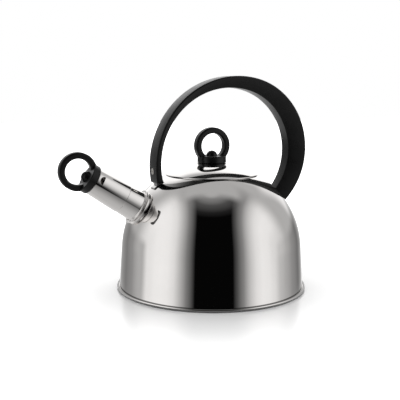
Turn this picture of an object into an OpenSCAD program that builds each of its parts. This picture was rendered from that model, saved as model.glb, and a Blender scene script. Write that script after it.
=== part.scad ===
// Stovetop whistling kettle: a domed steel body on a sandwich base, a fixed arch handle,
// a lift-off lid and a whistle cap that slips over the spout.
// The origin is on the worktop, under the middle of the base. The spout points to -X.

/* [Body] */
// Radius of the dome's shoulder arc
dome_r = 82; // [78:0.5:86]
// Height of the centre of the shoulder arc
dome_z = 37.5; // [36:0.5:40]
// How far the centre of the shoulder arc stands off the axis
dome_offset = 4.8; // [4:0.2:6]
// Lean of the side wall, in degrees
wall_lean = 3.5; // [2.5:0.1:4.5]
// Thickness of the steel sheet
sheet = 0.8; // [0.7:0.05:0.9]
// Radius of the lid opening
mouth_r = 42.6; // [41:0.2:43]

/* [Base] */
// Radius of the rolled seam round the foot
seam_r = 91.6; // [91.4:0.1:93]
// Radius of the disc that stands on the stove
base_disc_r = 82; // [76:0.5:83]
// Thickness of the aluminium heat spreader
spreader_t = 4; // [3.8:0.1:4.2]

/* [Handle] */
// Radius of the outer arc over the spout side
arch_front_r = 84.2; // [83.8:0.1:84.6]
// Radius of the outer arc over the rear side
arch_rear_r = 70.9; // [70.4:0.1:71.4]
// Radius of the inner arc over the spout side
grip_front_r = 70.9; // [70.6:0.1:71.2]
// Radius of the inner arc over the rear side
grip_rear_r = 60.6; // [60.2:0.1:61]
// Width of the handle across its outer face
handle_w = 20; // [19:0.5:22]
// Gap between the dome and the feet of the handle
foot_gap = 1.4; // [1.3:0.1:1.8]

/* [Lid] */
// Radius of the lid's rim
lid_r = 44.4; // [44:0.1:45.4]
// Radius of the lid's dome
lid_dome_r = 67; // [66.8:0.1:67.2]
// Thickness of the lid's sheet
lid_t = 0.5; // [0.4:0.05:0.6]
// Depth of the ring that locates the lid
skirt_h = 12; // [8:0.5:14]

/* [Knobs] */
// Outer radius of the finger ring
ring_r = 17.5; // [17:0.1:18]
// Radius of the finger hole
ring_hole_r = 11.7; // [11.4:0.1:12]
// Thickness of the finger ring
ring_t = 8.5; // [7.5:0.25:9.5]
// Radius of the collar under the ring
collar_r = 13.8; // [13.6:0.1:14.5]
// Height of the collar
collar_h = 6.6; // [6.2:0.1:7]

/* [Spout and whistle] */
// Rise of the spout above the horizontal, in degrees
spout_rise = 32.3; // [32:0.1:32.6]
// Outer radius of the spout
spout_r = 12.7; // [12.4:0.1:12.8]
// How far the spout stands out past the whistle's rim
spout_reach = 23; // [21:0.5:25]
// Length of the whistle from its rim to its knob
whistle_len = 49.5; // [49.5:0.5:52]
// Radius of the rolled rim of the whistle
rim_r = 17.3; // [17:0.1:17.6]

/* [Hidden] */
$fn = 96;

high = 220;                 // above everything
fit = 0.05;                 // gap between pieces fixed together
cover_t = 0.5;              // sheet of the base cover
seam_z0 = 0.9;              // underside of the seam
foot_z = seam_z0 + sheet;   // lowest edge of the side wall
pan_z = cover_t + spreader_t;
seam_z1 = foot_z + 2 * sheet;
shoulder_r = dome_offset + dome_r * cos(wall_lean);
shoulder_z = dome_z + dome_r * sin(wall_lean);
foot_r = shoulder_r + (shoulder_z - foot_z) * tan(wall_lean);

arch_front = [24.2, 118.9];
arch_lean = 13.5;
grip_front = [16.4, 121];
grip_lean = 15.7;
grip_w = 13;
front_foot_z = 103.2;
arch_mid = [21, 126];
front_tab_x = -57.3;        // inner face of the front bracket's tab
front_tab_t = 1.4;
front_tab_w = 8;
front_tab_top = 120;
front_bolt_z = 114.8;
front_head_x = -60.2;       // outer face of the front screw's head
rear_foot = [71.4, 0, 88.2];
rear_lean = 41.8;           // lean of the handle at its rear foot
rear_tab_t = 1.8;
rear_tab_w = 10;
rear_tab_top = 15;          // how far the rear tab stands up into the foot
rear_bolt_up = 9;           // how far the rear bolt is up the foot
rear_head_x = 4.7;          // outer face of the rear screw's head
bolt_r = 1.5;
bolt_head_r = 3;
bolt_head_h = 1.8;

lid_dome = [7.85, 54.15];   // centre of the lid's arc, beside the axis
lid_flat_z = 121;           // flat spot that the knob stands on
neck_depth = 6;
skirt_play = 0.4;           // gap between the lid's ring and the neck

spout_at = [-75.2, 0, 82.4];  // middle of the whistle's mouth, on the spout's axis
step_s = 17.1;              // where the sleeve laps over the skirt
sleeve_top_r = 12.9;
sleeve_mouth_r = 14.3;
skirt_top_r = 13.8;
skirt_low_r = 14.5;
window_s = 43.3;            // straight edge of the whistle's window
window_r = 4;
lower_plate_s = 30;         // underside of the plate nearer the spout
plate_gap = 4.5;
spring_s = 3.4;             // lower edge of the grip spring
spring_h = 4.4;
plate_t = 0.6;
plate_h = 2.4;              // height of a plate's rim
jet_r = 2;                  // radius of the hole that the steam jet passes
window_turn = 20;           // how far the window is turned up from the side

ring_up = 16.2;             // middle of the finger ring above the knob's foot
screw_r = 2.4;              // knob screws
screw_end = 6.2;            // how far a knob screw comes out below the knob
head_r = 5.4;
head_h = 5;
washer_t = 1;
nut_h = 3.2;
steel = [0.78, 0.78, 0.79];
black = [0.1, 0.1, 0.11];

// ---- shared shapes ----

// The half outline of the body, grown outward by g.
module body_outline(g, facets = 180) {
    reach = 50;
    polygon([[0, foot_z], [foot_r + g, foot_z],
             [shoulder_r + g * cos(wall_lean), shoulder_z + g * sin(wall_lean)],
             [dome_offset, dome_z + 10], [0, dome_z + 10]]);
    intersection() {
        translate([dome_offset, dome_z]) circle(r = dome_r + g, $fn = facets);
        polygon([[0, dome_z - 1], [dome_offset, dome_z], [shoulder_r, shoulder_z],
                 [shoulder_r + reach * cos(wall_lean), shoulder_z + reach * sin(wall_lean)],
                 [shoulder_r + reach, high], [0, high]]);
    }
}

// A strip of the outline's half plane, from radius r0 to r1 and height z0 to z1.
module strip(r0, r1, z0, z1) {
    translate([r0, z0]) square([r1 - r0, z1 - z0]);
}

// Puts its children in the spout's frame, where +Z runs out along the spout.
module on_spout() {
    translate(spout_at) rotate([0, spout_rise - 90, 0]) children();
}

// Two arcs that run into each other without a kink, the rear one the tighter of the two.
module egg(front, r_front, r_rear, lean) {
    rear = front + (r_front - r_rear) * [sin(lean), cos(lean)];
    intersection() {
        translate(front) circle(r = r_front, $fn = 180);
        translate(front) rotate(-lean) translate([-200, -200]) square([200, 400]);
    }
    translate(rear) circle(r = r_rear, $fn = 180);
}

// Stands a drawing in X and Z up at y = 0, w thick.
module upright(w) {
    translate([0, w / 2, 0]) rotate([90, 0, 0]) linear_extrude(w) children();
}

// Finger ring on a round collar, standing on z = 0.
module ring_knob() {
    difference() {
        union() {
            rotate_extrude() {
                strip(0, collar_r - 1, 0, collar_h);
                strip(0, collar_r, 1, collar_h - 0.8);
                translate([collar_r - 1, 1]) circle(r = 1);
                translate([collar_r - 0.8, collar_h - 0.8]) circle(r = 0.8);
            }
            translate([0, 0, ring_up]) rotate([90, 0, 0]) rotate_extrude($fn = 180) finger_section();
        }
        translate([-ring_r, -ring_r, -10]) cube([2 * ring_r, 2 * ring_r, 10]);
        translate([0, 0, -1]) cylinder(r = screw_r + fit, h = collar_h + 2);
    }
}

// Section of the finger ring, with rounded edges.
module finger_section() {
    edge = 1.8;
    strip(ring_hole_r + edge, ring_r - edge, -ring_t / 2, ring_t / 2);
    strip(ring_hole_r, ring_r, edge - ring_t / 2, ring_t / 2 - edge);
    for (r = [ring_hole_r + edge, ring_r - edge])
        for (y = [edge - ring_t / 2, ring_t / 2 - edge])
            translate([r, y]) circle(r = edge);
}

// Domed screw whose head sits on z = 0, with len of shank below it.
module dome_screw(len) {
    cap_r = (head_r * head_r + head_h * head_h) / (2 * head_h);
    rotate_extrude() {
        intersection() {
            translate([0, head_h - cap_r]) circle(r = cap_r);
            strip(0, head_r, 0, head_h);
        }
        strip(0, screw_r, -len, 0.5);
    }
}

// Small machine screw along +X, its head's outer face at x = 0.
module cap_screw(len) {
    difference() {
        rotate([0, 90, 0]) {
            cylinder(r = bolt_head_r, h = bolt_head_h);
            cylinder(r = bolt_r, h = len);
        }
        translate([-0.5, -2.4, -0.4]) cube([1.2, 4.8, 0.8]);
        translate([-0.5, -0.4, -2.4]) cube([1.2, 0.8, 4.8]);
    }
}

module washer() {
    difference() {
        cylinder(r = 6, h = washer_t);
        translate([0, 0, -1]) cylinder(r = screw_r + 0.2, h = washer_t + 2);
    }
}

module hex_nut() {
    difference() {
        cylinder(r = 4.6, h = nut_h, $fn = 6);
        translate([0, 0, -1]) cylinder(r = screw_r + fit, h = nut_h + 2);
    }
}

// ---- body and base ----

module body_shell() {
    color(steel) difference() {
        rotate_extrude($fn = 180) {
            difference() {
                body_outline(0);
                body_outline(-sheet);
                strip(0, mouth_r - sheet, 0, high);
                strip(0, foot_r - sheet, 0, foot_z + 1);
            }
            strip(foot_r - sheet, seam_r - sheet - fit, foot_z, foot_z + sheet);
            strip(mouth_r - sheet, mouth_r, mouth_z() - neck_depth, mouth_z() - 0.4);
        }
        on_spout() translate([0, 0, -20]) cylinder(r = spout_r + fit, h = 40);
    }
}

// Height of the dome at the lid opening.
function mouth_z() = dome_z + sqrt(pow(dome_r, 2) - pow(mouth_r - dome_offset, 2));

// Pressed pan: its rim is rolled over the foot of the wall and makes the seam.
module base_pan() {
    color(steel) rotate_extrude($fn = 180) {
        polygon([[0, pan_z + fit], [base_disc_r + 1, pan_z + fit], [base_disc_r + 3, seam_z0],
                 [seam_r - 0.6, seam_z0], [seam_r - 0.6, foot_z - fit], [base_disc_r + 3.4, foot_z - fit],
                 [base_disc_r + 1.4, pan_z + fit + sheet], [0, pan_z + fit + sheet]]);
        difference() {
            intersection() {
                translate([seam_r - 1.7, (seam_z0 + seam_z1) / 2]) circle(r = 1.7);
                strip(foot_r + 0.3, seam_r, seam_z0, seam_z1);
            }
            strip(0, seam_r - sheet, foot_z - fit, foot_z + sheet + fit);
        }
    }
}

module heat_spreader() {
    r = base_disc_r - cover_t - fit;
    edge = 0.6;
    color([0.62, 0.63, 0.64]) rotate_extrude($fn = 180)
        polygon([[0, cover_t + fit], [r - edge, cover_t + fit], [r, cover_t + fit + edge],
                 [r, pan_z], [0, pan_z]]);
}

// Thin steel cap round the aluminium disc, whose flat underside stands on the stove.
module base_cover() {
    color(steel) rotate_extrude($fn = 180) {
        strip(0, base_disc_r - 1, 0, cover_t);
        strip(base_disc_r - cover_t, base_disc_r, 1, pan_z);
        intersection() {
            difference() {
                translate([base_disc_r - 1, 1]) circle(r = 1);
                translate([base_disc_r - 1, 1]) circle(r = 1 - cover_t);
            }
            strip(base_disc_r - 1, base_disc_r, 0, 1);
        }
    }
}

// ---- spout ----

module spout_tube() {
    color(steel) on_spout() rotate_extrude() {
        strip(spout_r - sheet, spout_r, -7, spout_reach - sheet / 2);
        translate([spout_r - sheet / 2, spout_reach - sheet / 2]) circle(r = sheet / 2);
    }
}

// Ring with a chamfered edge that joins the spout to the dome.
module spout_collar() {
    bore = spout_r + fit;
    color(steel) difference() {
        on_spout() rotate_extrude()
            polygon([[bore, -10], [bore + 3.8, -10], [bore + 3.8, -1.2], [bore + 3, -0.4], [bore, -0.4]]);
        rotate_extrude($fn = 450) body_outline(fit, 450);
    }
}

// ---- handle ----

// Keeps the handle wide at its outer face and narrower towards the fingers.
module handle_taper() {
    translate([arch_mid[0], 0, arch_mid[1]]) rotate([90, 0, 0]) rotate_extrude($fn = 180)
        polygon([[50, -grip_w / 2], [58, -grip_w / 2], [76, -handle_w / 2], [110, -handle_w / 2],
                 [110, handle_w / 2], [76, handle_w / 2], [58, grip_w / 2], [50, grip_w / 2]]);
}

// Where the rear foot meets the dome, with +Z along the handle and +X out to the back.
module at_rear_foot() {
    translate(rear_foot) rotate([0, rear_lean, 0]) children();
}

module handle() {
    color(black) difference() {
        intersection() {
            upright(handle_w) difference() {
                egg(arch_front, arch_front_r, arch_rear_r, arch_lean);
                egg(grip_front, grip_front_r, grip_rear_r, grip_lean);
                for (side = [-1, 1])
                    translate([side * dome_offset, dome_z]) circle(r = dome_r + foot_gap, $fn = 180);
                translate([-120, 0]) square([120, front_foot_z]);
                translate([0, 0]) square([dome_offset + 60, 80]);
                translate([0, -100]) square([200, dome_z + 100]);
            }
            handle_taper();
        }
        translate([front_tab_x - fit, -front_tab_w / 2 - fit, 100])
            cube([front_tab_t + 2 * fit, front_tab_w + 2 * fit, front_tab_top + 0.2 - 100]);
        translate([-66, 0, front_bolt_z]) rotate([0, 90, 0]) {
            cylinder(r = bolt_head_r + 0.2, h = 66 + front_head_x + bolt_head_h);
            cylinder(r = bolt_r + fit, h = 11);
        }
        at_rear_foot() {
            translate([-rear_tab_t / 2 - fit, -rear_tab_w / 2 - fit, -8])
                cube([rear_tab_t + 2 * fit, rear_tab_w + 2 * fit, rear_tab_top + 8.2]);
            translate([rear_head_x - bolt_head_h - 0.1, 0, rear_bolt_up]) rotate([0, 90, 0])
                cylinder(r = bolt_head_r + 0.2, h = 12);
            translate([-3, 0, rear_bolt_up]) rotate([0, 90, 0]) cylinder(r = bolt_r + fit, h = 12);
        }
    }
}

// Foot plate of a bracket: a patch of sheet that lies on the dome.
module dome_patch(at, size) {
    intersection() {
        rotate_extrude($fn = 180) difference() {
            body_outline(1.1);
            body_outline(fit);
        }
        translate(at) cube(size, center = true);
    }
}

// Welded lug whose tab stands in a slot of the front foot.
module front_bracket() {
    color(steel) difference() {
        union() {
            dome_patch([-55.5, 0, 101], [9, 9, 16]);
            difference() {
                translate([front_tab_x, -front_tab_w / 2, 90])
                    cube([front_tab_t, front_tab_w, front_tab_top - 90]);
                rotate_extrude($fn = 180) body_outline(0.6);
            }
        }
        translate([-62, 0, front_bolt_z]) rotate([0, 90, 0]) cylinder(r = bolt_r + fit, h = 12);
    }
}

// Welded lug whose tab stands in a slot of the rear foot.
module rear_bracket() {
    color(steel) difference() {
        union() {
            dome_patch([70.6, 0, 86], [9, 11, 15]);
            difference() {
                at_rear_foot() translate([-rear_tab_t / 2, -rear_tab_w / 2, -12])
                    cube([rear_tab_t, rear_tab_w, rear_tab_top + 12]);
                rotate_extrude($fn = 180) body_outline(0.6);
            }
        }
        at_rear_foot() translate([-6, 0, rear_bolt_up]) rotate([0, 90, 0]) cylinder(r = bolt_r + fit, h = 12);
    }
}

module front_screw() {
    color(steel) translate([front_head_x, 0, front_bolt_z]) cap_screw(5);
}

module rear_screw() {
    color(steel) at_rear_foot() translate([rear_head_x, 0, rear_bolt_up]) mirror([1, 0, 0]) cap_screw(7.5);
}

// ---- lid ----

// The half outline of the lid's dome, grown outward by g and cut off flat at the top.
module lid_outline(g) {
    intersection() {
        translate(lid_dome) circle(r = lid_dome_r + g, $fn = 180);
        strip(0, lid_dome_r, lid_dome[1], lid_flat_z + g);
    }
}

module lid_shell() {
    color(steel) difference() {
        rotate_extrude($fn = 180) intersection() {
            difference() {
                lid_outline(0);
                lid_outline(-lid_t);
            }
            strip(0, lid_r, mouth_z() - 5, high);
        }
        translate([0, 0, mouth_z()]) cylinder(r = screw_r + fit, h = 40);
    }
}

// Ring under the lid that drops into the neck of the body.
module lid_skirt() {
    ring_r1 = mouth_r - sheet - skirt_play;
    color(steel) rotate_extrude($fn = 180) intersection() {
        strip(ring_r1 - sheet, ring_r1, mouth_z() - skirt_h, mouth_z() + 3);
        lid_outline(-lid_t - fit);
    }
}

module lid_knob() {
    color(black) translate([0, 0, lid_flat_z + fit]) ring_knob();
}

module lid_knob_screw() {
    color(black) translate([0, 0, lid_flat_z + 2 * fit + collar_h]) dome_screw(collar_h + screw_end);
}

module lid_knob_washer() {
    color(steel) translate([0, 0, lid_flat_z - lid_t - washer_t - fit]) washer();
}

module lid_knob_nut() {
    color(steel) translate([0, 0, lid_flat_z - lid_t - washer_t - nut_h - 2 * fit]) hex_nut();
}

// ---- whistle ----

// Upper tube with a closed end and the window that the steam sings through.
module whistle_sleeve() {
    color(steel) on_spout() difference() {
        rotate_extrude() {
            polygon([[sleeve_top_r, whistle_len], [0, whistle_len], [0, whistle_len - sheet],
                     [sleeve_top_r - sheet, whistle_len - sheet], [sleeve_mouth_r - sheet, step_s],
                     [sleeve_mouth_r, step_s]]);
        }
        translate([0, 0, whistle_len - 5]) cylinder(r = screw_r + fit, h = 10);
        rotate([0, 0, window_turn]) translate([0, 0, window_s]) rotate([90, 0, 0]) linear_extrude(30)
            intersection() {
                circle(r = window_r);
                translate([-window_r, 0]) square([2 * window_r, window_r]);
            }
    }
}

// Lower tube with the rolled rim that sits over the foot of the spout.
module whistle_skirt() {
    roll = 0.8;                               // radius of the rolled edge
    lap = 2.5;                                // how far the skirt reaches into the sleeve
    lap_r = sleeve_mouth_r - sheet - 0.2;
    color(steel) on_spout() rotate_extrude() {
        polygon([[skirt_low_r + 0.3, 0.5], [rim_r - roll, 0.5], [rim_r - roll, 1.3],
                 [skirt_low_r + 0.5, 1.4], [skirt_low_r, 1.9], [skirt_top_r, step_s - fit],
                 [lap_r, step_s - fit], [lap_r - 0.1, step_s + lap],
                 [skirt_top_r - sheet - 0.2, step_s + lap], [skirt_top_r - sheet, step_s - 1],
                 [skirt_low_r - sheet, 1.9], [skirt_low_r - sheet + 0.2, 1]]);
        translate([rim_r - roll, roll]) circle(r = roll);
    }
}

// Disc across the sleeve with the small hole that the steam jet passes.
module whistle_plate(s) {
    taper = (sleeve_mouth_r - sleeve_top_r) / (whistle_len - step_s);
    r = sleeve_mouth_r - sheet - fit - taper * (s + plate_h + 0.6 - step_s);
    on_spout() translate([0, 0, s]) rotate_extrude() {
        strip(jet_r, r, 0, plate_t);
        strip(r - plate_t, r, 0, plate_h);
    }
}

module whistle_lower_plate() {
    color(steel) whistle_plate(lower_plate_s);
}

module whistle_upper_plate() {
    color(steel) whistle_plate(lower_plate_s + plate_gap);
}

// Split spring band that grips the spout inside the skirt.
module grip_spring() {
    fingers = 6;
    play = 0.3;
    band_t = 0.3;
    gap = 1.6;                                // gap between two fingers
    hoop_h = 1.2;                             // height of the hoop that joins them
    color(steel) on_spout() difference() {
        rotate_extrude() strip(spout_r + play, spout_r + play + band_t, spring_s, spring_s + spring_h);
        for (i = [0 : fingers - 1])
            rotate([0, 0, i * 360 / fingers]) translate([0, -gap / 2, spring_s + hoop_h]) cube([20, gap, 6]);
    }
}

module whistle_knob() {
    color(black) on_spout() translate([0, 0, whistle_len + fit]) ring_knob();
}

module whistle_knob_screw() {
    color(black) on_spout() translate([0, 0, whistle_len + 2 * fit + collar_h])
        dome_screw(collar_h + screw_end);
}

module whistle_knob_washer() {
    color(steel) on_spout() translate([0, 0, whistle_len - sheet - washer_t - fit]) washer();
}

module whistle_knob_nut() {
    color(steel) on_spout() translate([0, 0, whistle_len - sheet - washer_t - nut_h - 2 * fit]) hex_nut();
}

body_shell();
base_pan();
heat_spreader();
base_cover();
spout_tube();
spout_collar();
handle();
front_bracket();
rear_bracket();
front_screw();
rear_screw();
lid_shell();
lid_skirt();
lid_knob();
lid_knob_screw();
lid_knob_washer();
lid_knob_nut();
whistle_sleeve();
whistle_skirt();
whistle_lower_plate();
whistle_upper_plate();
grip_spring();
whistle_knob();
whistle_knob_screw();
whistle_knob_washer();
whistle_knob_nut();
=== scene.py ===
import math

import bmesh
import bpy
from mathutils import Matrix, Vector


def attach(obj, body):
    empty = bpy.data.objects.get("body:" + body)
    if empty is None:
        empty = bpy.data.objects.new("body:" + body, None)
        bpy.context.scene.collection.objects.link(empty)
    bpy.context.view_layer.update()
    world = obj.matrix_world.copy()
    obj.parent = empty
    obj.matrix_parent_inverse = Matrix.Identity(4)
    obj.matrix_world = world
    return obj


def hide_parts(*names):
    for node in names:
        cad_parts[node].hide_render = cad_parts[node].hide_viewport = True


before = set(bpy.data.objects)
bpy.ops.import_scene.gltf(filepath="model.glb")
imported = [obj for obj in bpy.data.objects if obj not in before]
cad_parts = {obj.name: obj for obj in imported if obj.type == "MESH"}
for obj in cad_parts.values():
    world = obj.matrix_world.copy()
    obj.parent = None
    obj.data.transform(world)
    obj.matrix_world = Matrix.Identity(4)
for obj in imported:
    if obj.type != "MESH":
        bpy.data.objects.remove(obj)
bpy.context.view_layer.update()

# ---- Camera ----
# Stands 0.7 m off on the spout's left, a hand's width above the handle's feet, and looks
# slightly down.
camera_data = bpy.data.cameras.new("camera")
camera_data.sensor_width = 36
camera_data.lens = 65.96
camera = bpy.data.objects.new("camera", camera_data)
bpy.context.scene.collection.objects.link(camera)
bpy.context.scene.camera = camera

stand = math.radians(-24)
to_camera = Vector((math.sin(stand), -math.cos(stand), 0))
across = Vector((math.cos(stand), math.sin(stand), 0))
turn = math.radians(-0.906)
dip = math.radians(8.96)
tilt = math.radians(0.3)
level = -to_camera * math.cos(turn) + across * math.sin(turn)
right = across * math.cos(turn) + to_camera * math.sin(turn)
ahead = level * math.cos(dip) - Vector((0, 0, math.sin(dip)))
up = right.cross(ahead)
cam_x = right * math.cos(tilt) + up * math.sin(tilt)
cam_y = up * math.cos(tilt) - right * math.sin(tilt)
camera_at = Vector((-0.2847, -0.6395, 0.1948))
camera_axes = Matrix((cam_x, cam_y, -ahead)).transposed().to_4x4()
camera.matrix_world = Matrix.Translation(camera_at) @ camera_axes

# ---- Studio ----
# A white floor in a white tent. The tent has a tall black strip behind the camera, soft
# white sides and a grey back, which the polished steel shows as its dark and bright bands.
bpy.context.scene.view_settings.view_transform = "Standard"


def node(tree, kind, **settings):
    """Adds a node, with its fields and its sockets' values set."""
    made = tree.nodes.new(kind)
    for name, value in settings.items():
        if hasattr(made, name):
            setattr(made, name, value)
        else:
            made.inputs[name.replace("_", " ")].default_value = value
    return made


def maths(tree, operation, a, b=None, c=None):
    """A math node whose inputs are sockets or numbers. Gives its output."""
    made = tree.nodes.new("ShaderNodeMath")
    made.operation = operation
    for i, value in enumerate((a, b, c)):
        if isinstance(value, bpy.types.NodeSocket):
            tree.links.new(value, made.inputs[i])
        elif value is not None:
            made.inputs[i].default_value = value
    return made.outputs[0]


def ramp(tree, factor, stops):
    """A colour ramp through (place, grey or colour) stops. Gives its colour output."""
    made = tree.nodes.new("ShaderNodeValToRGB")
    tree.links.new(factor, made.inputs[0])
    band = made.color_ramp
    while len(band.elements) < len(stops):
        band.elements.new(0.5)
    for element, (place, tone) in zip(band.elements, stops):
        element.position = place
        element.color = (tone, tone, tone, 1) if isinstance(tone, (int, float)) else (*tone, 1)
    return made.outputs[0]


def blend(tree, factor, a, b):
    """Mixes colour a to colour b. Gives the colour output."""
    made = tree.nodes.new("ShaderNodeMix")
    made.data_type = "RGBA"
    for slot_index, value in ((0, factor), (6, a), (7, b)):
        if isinstance(value, bpy.types.NodeSocket):
            tree.links.new(value, made.inputs[slot_index])
        elif slot_index == 0:
            made.inputs[0].default_value = value
        else:
            made.inputs[slot_index].default_value = (value, value, value, 1)
    return made.outputs[2]


def step(tree, value, start, end):
    """Runs smoothly from 0 at start to 1 at end."""
    made = tree.nodes.new("ShaderNodeMapRange")
    made.interpolation_type = "SMOOTHSTEP"
    tree.links.new(value, made.inputs[0])
    made.inputs[1].default_value = start
    made.inputs[2].default_value = end
    return made.outputs[0]


def along(tree, vector, direction):
    """How far a direction socket points along a fixed direction, from -1 to 1."""
    made = tree.nodes.new("ShaderNodeVectorMath")
    made.operation = "DOT_PRODUCT"
    tree.links.new(vector, made.inputs[0])
    made.inputs[1].default_value = direction
    return made.outputs["Value"]


tent = bpy.data.worlds.new("tent")
bpy.context.scene.world = tent
tent.use_nodes = True
tree = tent.node_tree
tree.nodes.clear()
facing = node(tree, "ShaderNodeTexCoord").outputs["Generated"]
sideways = along(tree, facing, across)
front = along(tree, facing, to_camera)
height = along(tree, facing, (0, 0, 1))
depth = maths(tree, "MULTIPLY", height, -1.0)
off_middle = maths(tree, "ABSOLUTE", sideways)
narrowing = maths(tree, "MULTIPLY_ADD", maths(tree, "MULTIPLY", height, height), 0.3, 1.0)
strip_side = maths(tree, "MULTIPLY_ADD", maths(tree, "MULTIPLY", sideways, narrowing), 0.5, 0.5)
front_wall = ramp(tree, strip_side, [
    (0.0, 0.95), (0.025, 1.07), (0.055, 1.08), (0.095, 1.04), (0.1425, 0.9), (0.196, 0.56),
    (0.254, 0.24), (0.315, 0.053), (0.336, 0.002), (0.726, 0.002), (0.766, 0.089),
    (0.8225, 0.28), (0.874, 0.64), (0.919, 0.91), (0.955, 1.02), (0.983, 1.0), (0.998, 0.86)])
back_low = ramp(tree, maths(tree, "MULTIPLY_ADD", sideways, 0.5, 0.5), [
    (0.015, 0.52), (0.055, 0.33), (0.138, 0.23), (0.31, 0.4), (0.38, 0.85), (0.5, 1.1),
    (0.63, 0.85), (0.72, 0.38), (0.818, 0.19), (0.924, 0.33), (0.976, 0.51), (0.9975, 0.68)])
low_walls = blend(tree, step(tree, front, 0.1, -0.1), front_wall, back_low)
backdrop = maths(tree, "MULTIPLY", step(tree, off_middle, 0.7, 0.5), step(tree, height, 0.7, 0.48))
back_high = blend(tree, backdrop, 0.52, 0.95)
panel = maths(tree, "MULTIPLY", step(tree, off_middle, 0.52, 0.34), step(tree, front, -0.5, -0.68))
back_high = blend(tree, panel, back_high, 1.28)
high_walls = blend(tree, step(tree, front, 0.05, -0.42), front_wall, back_high)
walls = blend(tree, step(tree, height, 0.0, 0.16), low_walls, high_walls)
front_roof = ramp(tree, height, [(0.8, 0.0), (0.866, 0.03), (0.943, 0.17), (0.988, 0.51), (1.0, 1.0)])
roof = blend(tree, step(tree, front, 0.18, -0.08), front_roof, step(tree, height, 0.82, 0.93))
walls = blend(tree, roof, walls, 0.5)
near_floor = ramp(tree, depth, [(0.25, 0.2), (0.53, 0.34), (0.72, 0.45), (0.86, 0.53), (0.97, 0.6)])
far_floor = ramp(tree, depth, [(0.28, 1.0), (0.5, 0.86), (0.69, 0.74), (0.84, 0.67), (0.97, 0.62)])
ground = blend(tree, step(tree, front, 0.1, -0.1), near_floor, far_floor)
walls = blend(tree, step(tree, depth, 0.22, 0.34), walls, ground)
seen = node(tree, "ShaderNodeLightPath").outputs["Is Camera Ray"]
tone = blend(tree, seen, walls, 1.0)
glow = node(tree, "ShaderNodeBackground")
tree.links.new(tone, glow.inputs["Color"])
tree.links.new(glow.outputs[0], node(tree, "ShaderNodeOutputWorld").inputs["Surface"])

floor_mesh = bpy.data.meshes.new("floor")
edge = 3.0
floor_mesh.from_pydata([(-edge, -edge, 0), (edge, -edge, 0), (edge, edge, 0), (-edge, edge, 0)],
                       [], [(0, 1, 2, 3)])
floor = bpy.data.objects.new("floor", floor_mesh)
bpy.context.scene.collection.objects.link(floor)
floor.visible_glossy = False
paint = bpy.data.materials.new("white_floor_painted_glow")
paint.use_nodes = True
shader = paint.node_tree.nodes["Principled BSDF"]
shader.inputs["Base Color"].default_value = (0.87, 0.87, 0.87, 1)
shader.inputs["Roughness"].default_value = 0.18
shader.inputs["IOR"].default_value = 1.95
# Painted light: the floor glows from 0.1 m off the middle, fully from 0.3 m, so its own glow whitens
# the far floor while the floor round the kettle gets none.
shader.inputs["Emission Color"].default_value = (1, 1, 1, 1)
spot = node(paint.node_tree, "ShaderNodeTexCoord").outputs["Object"]
reach = paint.node_tree.nodes.new("ShaderNodeVectorMath")
reach.operation = "LENGTH"
paint.node_tree.links.new(spot, reach.inputs[0])
paint.node_tree.links.new(step(paint.node_tree, reach.outputs["Value"], 0.1, 0.3),
                          shader.inputs["Emission Strength"])
floor_mesh.materials.append(paint)


def softbox(name, place, aim, size, watts):
    """A square light of that size that shines from place to aim and isn't seen itself."""
    data = bpy.data.lights.new(name, "AREA")
    data.size = size
    data.energy = watts
    light = bpy.data.objects.new(name, data)
    bpy.context.scene.collection.objects.link(light)
    light.location = place
    light.rotation_euler = (Vector(aim) - Vector(place)).to_track_quat("-Z", "Y").to_euler()
    light.visible_camera = False
    light.visible_glossy = False


softbox("overhead", (0, 0, 1.6), (0, 0, 0), 2.0, 26)

# ---- Body ----
# Deep-drawn from one sheet of stainless steel and mirror polished: a slightly tapered
# wall, a domed shoulder, a neck turned down for the lid and a foot turned out for the seam.
MM = 0.001


def arc(cx, cz, r, start, end, count):
    """Points on an arc, from start to end in degrees."""
    return [(cx + r * math.cos(math.radians(start + (end - start) * i / count)),
             cz + r * math.sin(math.radians(start + (end - start) * i / count)))
            for i in range(count + 1)]


def soften(corners, steps=5):
    """Rounds each (x, z, radius) corner of a closed outline."""
    outline = []
    for i, (x, z, r) in enumerate(corners):
        here = Vector((x, z))
        if not r:
            outline.append((x, z))
            continue
        before = Vector(corners[i - 1][:2]) - here
        after = Vector(corners[(i + 1) % len(corners)][:2]) - here
        half = before.angle(after) / 2
        reach = min(r / math.tan(half), before.length * 0.49, after.length * 0.49)
        bend = reach * math.tan(half)
        centre = here + (before.normalized() + after.normalized()).normalized() * bend / math.sin(half)
        a = here + before.normalized() * reach - centre
        b = here + after.normalized() * reach - centre
        sweep = a.angle_signed(b)
        for k in range(steps + 1):
            spoke = Matrix.Rotation(-sweep * k / steps, 2) @ a
            outline.append((centre.x + spoke.x, centre.y + spoke.y))
    return outline


def new_piece(name, bm, body, finish, stands_for, sharp=40):
    """Makes an object of a finished bmesh, shades it, and hands it to the frame."""
    bmesh.ops.recalc_face_normals(bm, faces=bm.faces)
    mesh = bpy.data.meshes.new(name)
    bm.to_mesh(mesh)
    bm.free()
    mesh.shade_smooth()
    mesh.set_sharp_from_angle(angle=math.radians(sharp))
    mesh.materials.append(finish)
    made = bpy.data.objects.new(name, mesh)
    bpy.context.scene.collection.objects.link(made)
    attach(made, body)
    if stands_for:
        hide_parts(*stands_for)
    return made


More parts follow.
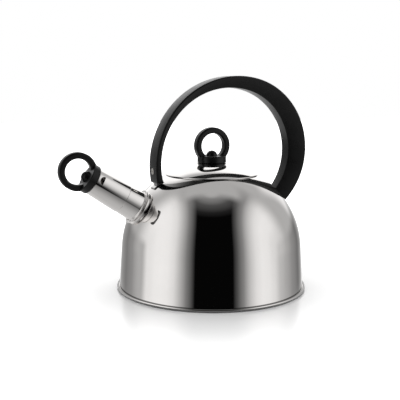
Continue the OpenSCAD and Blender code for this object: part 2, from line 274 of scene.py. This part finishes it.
def turned(outline, count=192):
    """A bmesh of a closed outline of (radius, height) in mm, turned about Z."""
    bm = bmesh.new()
    rings = []
    for r, z in outline:
        if r < 1e-6:
            rings.append([bm.verts.new((0, 0, z * MM))] * count)
        else:
            rings.append([bm.verts.new((r * MM * math.cos(2 * math.pi * i / count),
                                        r * MM * math.sin(2 * math.pi * i / count), z * MM))
                          for i in range(count)])
    for k, ring in enumerate(rings):
        other = rings[(k + 1) % len(rings)]
        for i in range(count):
            j = (i + 1) % count
            corners = []
            for v in (ring[i], ring[j], other[j], other[i]):
                if v not in corners:
                    corners.append(v)
            if len(corners) > 2:
                bm.faces.new(corners)
    return bm


def surface_noise(tree, scale, detail):
    """Noise fixed to the piece. Gives its value, about 0.5."""
    made = node(tree, "ShaderNodeTexNoise", Scale=scale, Detail=detail)
    tree.links.new(node(tree, "ShaderNodeTexCoord").outputs["Object"], made.inputs["Vector"])
    return made.outputs["Fac"]


def roughen(tree, shader, scale, low, high):
    """Lets the roughness wander between about low and high."""
    haze = node(tree, "ShaderNodeMapRange")
    tree.links.new(surface_noise(tree, scale, 5), haze.inputs[0])
    for i, value in enumerate((0.3, 0.75, low, high), 1):
        haze.inputs[i].default_value = value
    tree.links.new(haze.outputs[0], shader.inputs["Roughness"])


def ripple(tree, shader, scale, detail, deep):
    """Raises and sinks the surface by noise that is deep mm high."""
    bump = node(tree, "ShaderNodeBump", Strength=1.0, Distance=deep * MM)
    tree.links.new(surface_noise(tree, scale, detail), bump.inputs["Height"])
    tree.links.new(bump.outputs[0], shader.inputs["Normal"])


def steel(name, tint, polish, wave):
    """Bare steel. polish is its roughness, wave how deep the drawn sheet's ripple is, in mm."""
    made = bpy.data.materials.new(name)
    made.use_nodes = True
    tree = made.node_tree
    shader = tree.nodes["Principled BSDF"]
    shader.inputs["Metallic"].default_value = 1
    smears = surface_noise(tree, 38, 4)
    tree.links.new(ramp(tree, smears, [(0.3, [t * 0.96 for t in tint]), (0.7, tint)]),
                   shader.inputs["Base Color"])
    roughen(tree, shader, 90, polish * 0.8, polish * 1.3)
    ripple(tree, shader, 26, 1, wave)
    return made


mirror_look = ((0.8, 0.78, 0.765), 0.045, 0.012)
mirror_steel = steel("mirror_steel", *mirror_look)

sheet = 0.8
dome = 82.0
dome_z = 37.5
dome_offset = 4.8
lean = 3.5
mouth = 42.6
foot_z = 1.7
seam_r = 91.59


def dome_angle(radius, r):
    """The angle on the shoulder arc of that radius, in degrees, where it is r off the axis."""
    return math.degrees(math.acos((r - dome_offset) / radius))


foot_r = dome_offset + dome * math.cos(math.radians(lean)) + math.tan(math.radians(lean)) * (
    dome_z + dome * math.sin(math.radians(lean)) - foot_z)
outside = arc(dome_offset, dome_z, dome, lean, dome_angle(dome, mouth + 0.5), 72)
inside = arc(dome_offset, dome_z, dome - sheet, dome_angle(dome - sheet, mouth + 0.3), lean, 48)
mouth_z = outside[-1][1]
wall_top = Vector(outside[0])
wall = [(foot_r + (wall_top.x - foot_r) * i / 8, foot_z + sheet + (wall_top.y - foot_z - sheet) * i / 8)
        for i in range(8)]
neck = [(mouth - 0.1, mouth_z + 0.1), (mouth - 0.6, mouth_z - 0.35), (mouth - sheet, mouth_z - 1),
        (mouth - sheet, mouth_z - 6.2), (mouth - 0.1, mouth_z - 6.2), (mouth, mouth_z - 1.4)]
foot = [(foot_r - sheet, foot_z), (seam_r - 0.9, foot_z), (seam_r - 0.9, foot_z + sheet)]
shell_outline = foot + wall + outside + neck + inside

rise = math.radians(32.3)
spout_foot = Vector((-75.2, 0, 82.4)) * MM
on_spout = Matrix.Translation(spout_foot) @ Matrix.Rotation(rise - math.pi / 2, 4, "Y")
spout_r = 12.7


def rod(r, z0, z1, count=96):
    """A bmesh cylinder along Z, in mm, for cutting."""
    return turned([(0, z0), (r, z0), (r, z1), (0, z1)], count)


def cut(bm, *tools):
    """Cuts closed bmeshes out of a closed bmesh, and gives the result."""
    pieces = []
    for part in (bm, *tools):
        bmesh.ops.recalc_face_normals(part, faces=part.faces)
        mesh = bpy.data.meshes.new("cutting")
        part.to_mesh(mesh)
        part.free()
        pieces.append(bpy.data.objects.new("cutting", mesh))
        bpy.context.scene.collection.objects.link(pieces[-1])
    for tool in pieces[1:]:
        taking = pieces[0].modifiers.new("take", "BOOLEAN")
        taking.object = tool
        taking.solver = "EXACT"
    bpy.context.view_layer.update()
    finished = bmesh.new()
    finished.from_object(pieces[0], bpy.context.evaluated_depsgraph_get())
    for piece in pieces:
        mesh = piece.data
        bpy.data.objects.remove(piece)
        bpy.data.meshes.remove(mesh)
    return finished


spout_hole = rod(spout_r + 0.05, -20, 20)
spout_hole.transform(on_spout)
new_piece("body_shell_visual", cut(turned(shell_outline, 256), spout_hole), "kettle", mirror_steel,
          ["body_shell"])

# ---- Floor pan ----
# Pressed from polished sheet. Its rim is rolled over the turned-out foot of the body and
# makes the bead round the base. Painted shade darkens its colour in the crease above the
# bead, and a painted contact shadow darkens the bead's underside.
seam_steel_painted_shade = steel("seam_steel_painted_shade", *mirror_look)
tree = seam_steel_painted_shade.node_tree
shader = tree.nodes["Principled BSDF"]
unshaded_tint = shader.inputs["Base Color"].links[0].from_socket
# Painted shade: the base colour runs dark below about 2 mm, a painted contact shadow under the bead,
# and again from about 3 to 3.6 mm, painted shade in the crease above the bead.
split = node(tree, "ShaderNodeSeparateXYZ")
tree.links.new(node(tree, "ShaderNodeTexCoord").outputs["Object"], split.inputs[0])
up_4_mm = maths(tree, "DIVIDE", split.outputs["Z"], 4 * MM)
painted_shade_mask = ramp(tree, up_4_mm, [(0.24, 0.0), (0.42, 0.12), (0.54, 1.0), (0.7, 1.0),
                              (0.79, 0.15), (0.85, 0.15), (0.95, 1.0)])
tree.links.new(blend(tree, painted_shade_mask, 0.03, unshaded_tint), shader.inputs["Base Color"])
bead_r = 1.15
bead_z = 2.1
bead = arc(seam_r - bead_r, bead_z, bead_r, -90, 90, 14)
pan_outline = [(0, 4.55), (83, 4.55), (85, 0.95)] + bead + [
    (foot_r + 0.35, 3.25), (foot_r + 0.3, 2.55), (seam_r - 0.8, 2.55), (seam_r - 0.8, 1.65),
    (85.4, 1.65), (83.4, 5.35), (0, 5.35)]
new_piece("base_pan_visual", turned(pan_outline, 256), "kettle", seam_steel_painted_shade,
          ["base_pan"])

# ---- Heat spreader ----
# A disc of aluminium, turned to size and bonded under the pan. It spreads the heat of the
# stove evenly, and the cover hides it.


def dress(name, finish):
    """Gives a piece that the frame brought along its finish."""
    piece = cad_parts[name]
    piece.data.materials.clear()
    piece.data.materials.append(finish)


dress("heat_spreader", steel("aluminium_core", (0.62, 0.63, 0.64), 0.35, 0.02))

# ---- Base cover ----
# A thin stainless cap pressed over the aluminium disc. Its flat face stands on the stove and
# is left satin.
satin_steel = steel("satin_steel", (0.6, 0.59, 0.58), 0.26, 0.02)
dress("base_cover", satin_steel)

# ---- Spout tube ----
# A short length of polished tube, pushed through the hole in the dome and welded. Its free
# end is rounded over.
spout_end = 23.0
spout_root = -7.0
lip = arc(spout_r - sheet / 2, spout_end - sheet / 2, sheet / 2, 0, 180, 8)
tube = turned([(spout_r - sheet, spout_root), (spout_r, spout_root)] + lip, 128)
tube.transform(on_spout)
new_piece("spout_tube_visual", tube, "kettle", mirror_steel, ["spout_tube"])

# ---- Spout collar ----
# A turned steel ring round the root of the spout, which hides the weld. Its inner end is
# shaped to the dome.
dress("spout_collar", mirror_steel)

# ---- Handle brackets ----
# Two lugs of bent steel sheet, spot welded to the dome. Each tab stands in a slot in a foot
# of the handle.
bracket_steel = steel("bracket_steel", (0.7, 0.69, 0.68), 0.16, 0.02)
for name in ("front_bracket", "rear_bracket"):
    dress(name, bracket_steel)

# ---- Handle ----
# One arch, moulded in black heat-resistant plastic, wide on its outer face and narrower
# towards the fingers, with rounded edges. A screw sits in a recess in each foot.


def plastic(name, shade, gloss, grain):
    """Moulded black plastic. gloss is its roughness, grain the depth of its texture in mm."""
    made = bpy.data.materials.new(name)
    made.use_nodes = True
    tree = made.node_tree
    shader = tree.nodes["Principled BSDF"]
    shader.inputs["Specular IOR Level"].default_value = 0.27
    tree.links.new(ramp(tree, surface_noise(tree, 55, 4), [(0.3, shade * 0.75), (0.7, shade * 1.25)]),
                   shader.inputs["Base Color"])
    roughen(tree, shader, 120, gloss * 0.85, gloss * 1.15)
    ripple(tree, shader, 1800, 2, grain)
    return made


black = plastic("black_handle", 0.0035, 0.3, 0.015)

arch_mid = Vector((21, 126))
arch_outer = (Vector((24.2, 118.9)), 84.2, 70.9, 13.5)
arch_inner = (Vector((16.4, 121)), 70.9, 60.6, 15.7)
foot_arc = dome + 1.4
front_foot_z = 103.2
slim_half = 6.5
widening = 3.5
widens_from = 58.0
widens_over = 18.0


def ray_length(start, heading, centre, r):
    """How far along a heading a ray from inside a circle leaves it."""
    off = start - centre
    b = off.dot(heading)
    return -b + math.sqrt(b * b - off.length_squared + r * r)


def arch_point(shape, angle):
    """The point of one of the handle's egg-shaped outlines at that angle round arch_mid."""
    centre, r_front, r_rear, tip = shape
    tip = math.radians(tip)
    heading = Vector((math.cos(angle), math.sin(angle)))
    top = Vector((math.sin(tip), math.cos(tip)))
    seen = arch_mid + heading * ray_length(arch_mid, heading, centre, r_front)
    if (seen - centre).dot(Vector((math.cos(tip), -math.sin(tip)))) < 0:
        return seen
    rear = centre + top * (r_front - r_rear)
    return arch_mid + heading * ray_length(arch_mid, heading, rear, r_rear)


def angle_where(shape, low, high, outside):
    """The angle round arch_mid at which an outline crosses from outside to inside a limit."""
    for _ in range(40):
        middle_angle = (low + high) / 2
        if outside(arch_point(shape, middle_angle)):
            low = middle_angle
        else:
            high = middle_angle
    return low


def half_width(point):
    """Half the handle's width at a point of its side."""
    spread = (point - arch_mid).length
    return slim_half + widening * min(max((spread - widens_from) / widens_over, 0), 1)


def clear_of(offset):
    """Tells whether a point is clear of the dome on that side of the axis."""
    return lambda p: (p - Vector((offset, dome_z))).length > foot_arc


ends = []
for shape in (arch_outer, arch_inner):
    front_end = angle_where(shape, math.pi, math.radians(215),
                            lambda p: p.y > front_foot_z and clear_of(-dome_offset)(p))
    rear_end = angle_where(shape, 0.0, math.radians(-60), clear_of(dome_offset))
    ends.append((front_end, rear_end))

stations = 120
end_round = 1.2
slim_round = 1.2
wide_round = 1.3
arch_mean_r = 78.0
rings = []
handle_bm = bmesh.new()
outer_ends, inner_ends = ends
span = (outer_ends[0] - outer_ends[1]) * arch_mean_r
for i in range(stations + 1):
    share = 0.5 - 0.5 * math.cos(math.pi * i / stations)
    from_end = min(share, 1 - share) * span
    inset = 0.0
    if from_end < end_round:
        inset = end_round - math.sqrt(end_round ** 2 - (end_round - from_end) ** 2)
    out = arch_point(arch_outer, outer_ends[0] + (outer_ends[1] - outer_ends[0]) * share)
    into = arch_point(arch_inner, inner_ends[0] + (inner_ends[1] - inner_ends[0]) * share)
    beam = (out - into).normalized()
    out = out - beam * inset
    into = into + beam * inset
    wide = half_width(out) - inset
    slim = half_width(into) - inset
    length = (out - into).length
    section = soften([(0, -slim, slim_round), (length, -wide, wide_round),
                      (length, wide, wide_round), (0, slim, slim_round)], 6)
    rings.append([handle_bm.verts.new(((into.x + beam.x * along_beam) * MM, y * MM,
                                       (into.y + beam.y * along_beam) * MM))
                  for along_beam, y in section])
for ring, other in zip(rings, rings[1:]):
    for k in range(len(ring)):
        j = (k + 1) % len(ring)
        handle_bm.faces.new((ring[k], ring[j], other[j], other[k]))
handle_bm.faces.new(rings[0][::-1])
handle_bm.faces.new(rings[-1])

bolt_recess_r = 3.2
front_bolt_at = Vector((-66, 0, 114.8)) * MM
rear_tab_foot = Vector((71.4, 0, 88.2)) * MM
rear_tab_lean = math.radians(41.8)
rear_bolt_up = Vector((0, 0, 9)) * MM
quarter_turn = Matrix.Rotation(math.pi / 2, 4, "Y")
front_recess = rod(bolt_recess_r, -8, 7.6, 48)
front_recess.transform(Matrix.Translation(front_bolt_at) @ quarter_turn)
rear_recess = rod(bolt_recess_r, 2.8, 16, 48)
rear_recess.transform(Matrix.Translation(rear_tab_foot) @ Matrix.Rotation(rear_tab_lean, 4, "Y")
                      @ Matrix.Translation(rear_bolt_up) @ quarter_turn)
new_piece("handle_visual", cut(handle_bm, front_recess, rear_recess), "kettle", black,
          ["handle"], 32)

# ---- Handle screws ----
# Two small plated machine screws with cross recesses, run through the feet of the handle
# into the tabs of the brackets.
screw_steel = steel("screw_steel", (0.9, 0.88, 0.84), 0.38, 0.01)
for name in ("front_screw", "rear_screw"):
    dress(name, screw_steel)

# ---- Lid ----
# Pressed from a thin round of polished stainless steel, flatter than the dome it lies on,
# with a flat spot for the knob and a hole for its screw.
lid_mid = Vector((7.85, 54.15))
lid_dome = 67.0
lid_r = 44.4
lid_t = 0.5
lid_flat_z = 121.0


def lid_arc(radius, start_r, flat_z, count):
    """The lid's arc of that radius, from start_r off the axis up to the flat at flat_z."""
    start = math.degrees(math.acos((start_r - lid_mid.x) / radius))
    end = math.degrees(math.asin((flat_z - lid_mid.y) / radius))
    return arc(lid_mid.x, lid_mid.y, radius, start, end, count)


lid_top = lid_arc(lid_dome, lid_r - 0.12, lid_flat_z, 48)
lid_under = lid_arc(lid_dome - lid_t, lid_r - 0.12, lid_flat_z - lid_t, 48)
rim_z = (lid_top[0][1] + lid_under[0][1]) / 2
hole_r = 2.45
new_piece("lid_shell_visual",
          turned([(lid_r, rim_z)] + lid_top + [(hole_r, lid_flat_z), (hole_r, lid_flat_z - lid_t)]
                 + lid_under[::-1], 256),
          "lid", mirror_steel, ["lid_shell"])

# ---- Lid ring ----
# A rolled ring of plain sheet, spot welded under the lid, that drops into the neck and
# keeps the lid in place.
dress("lid_skirt", satin_steel)

# ---- Knobs ----
# A finger ring on a round collar, moulded in one piece of the same black plastic as the
# handle. One knob stands on the lid and one on the whistle.
for name in ("lid_knob", "whistle_knob"):
    dress(name, black)

# ---- Knob screws ----
# Domed black screws through the collars, with a washer and a nut of plain steel on the
# inside of the lid and of the whistle.
cap = plastic("black_cap", 0.004, 0.2, 0.008)
for owner in ("lid", "whistle"):
    dress(owner + "_knob_screw", cap)
    dress(owner + "_knob_washer", screw_steel)
    dress(owner + "_knob_nut", screw_steel)

# ---- Whistle sleeve ----
# The upper half of the whistle cap: a slightly tapered tube with a closed end, drawn from
# polished sheet, with a half-round window that the steam sings through.
sleeve_len = 49.5
step_s = 17.1
sleeve_top_r = 12.9
sleeve_mouth_r = 14.3
window_s = 43.3
window_r = 4.0
window_turn = math.radians(20)
window_reach = 30
corner = 0.7
sleeve_corner = arc(sleeve_top_r - corner, sleeve_len - corner, corner, 90, 4, 8)
sleeve_outline = [(0, sleeve_len)] + sleeve_corner + [
    (sleeve_mouth_r - 0.03, step_s + 0.3), (sleeve_mouth_r - 0.2, step_s),
    (sleeve_mouth_r - sheet, step_s), (sleeve_top_r - sheet, sleeve_len - sheet),
    (0, sleeve_len - sheet)]
sleeve = turned(sleeve_outline, 192)
window = bmesh.new()
bow = [window.verts.new((x * MM, -window_reach * MM, z * MM))
       for x, z in arc(0, 0, window_r, 0, 180, 32)]
window.faces.new(bow)
pushed = bmesh.ops.extrude_face_region(window, geom=window.faces[:])
for v in pushed["geom"]:
    if isinstance(v, bmesh.types.BMVert):
        v.co.y = 0
window.transform(Matrix.Rotation(window_turn, 4, "Z")
                 @ Matrix.Translation(Vector((0, 0, window_s)) * MM))
sleeve = cut(sleeve, window)
sleeve.transform(on_spout)
new_piece("whistle_sleeve_visual", sleeve, "whistle", mirror_steel,
          ["whistle_sleeve"], 30)

# ---- Whistle skirt ----
# The lower half of the cap, drawn with a flange at its mouth whose edge is rolled. The
# sleeve is pressed over its upper end.
rim_r = 17.3
roll = 0.8
skirt_top_r = 13.8
skirt_low_r = 14.5
lap_r = sleeve_mouth_r - sheet - 0.2
skirt_outline = arc(rim_r - roll, roll, roll, -90, 115, 20) + arc(
    skirt_low_r + 0.55, 1.95, 0.5, 268, 182, 6) + [
    (skirt_low_r - 0.02, 3), (skirt_top_r, step_s - 0.05), (lap_r, step_s - 0.05),
    (lap_r - 0.1, step_s + 2.5), (skirt_top_r - sheet - 0.2, step_s + 2.5),
    (skirt_top_r - sheet, step_s - 1), (skirt_low_r - sheet, 2.2)] + arc(
    skirt_low_r + 0.5, 1.8, 1.3, 180, 270, 6)
skirt = turned(skirt_outline, 192)
skirt.transform(on_spout)
new_piece("whistle_skirt_visual", skirt, "whistle", mirror_steel,
          ["whistle_skirt"], 50)

# ---- Whistle plates ----
# Two pressed steel discs across the sleeve. The steam jet passes the small holes in their
# middles and sounds the note between them.
for name in ("whistle_lower_plate", "whistle_upper_plate"):
    dress(name, satin_steel)

# ---- Grip spring ----
# A split band of spring steel inside the skirt, cut into six fingers and hardened. The
# fingers hold the cap on the spout.
dress("grip_spring", satin_steel)
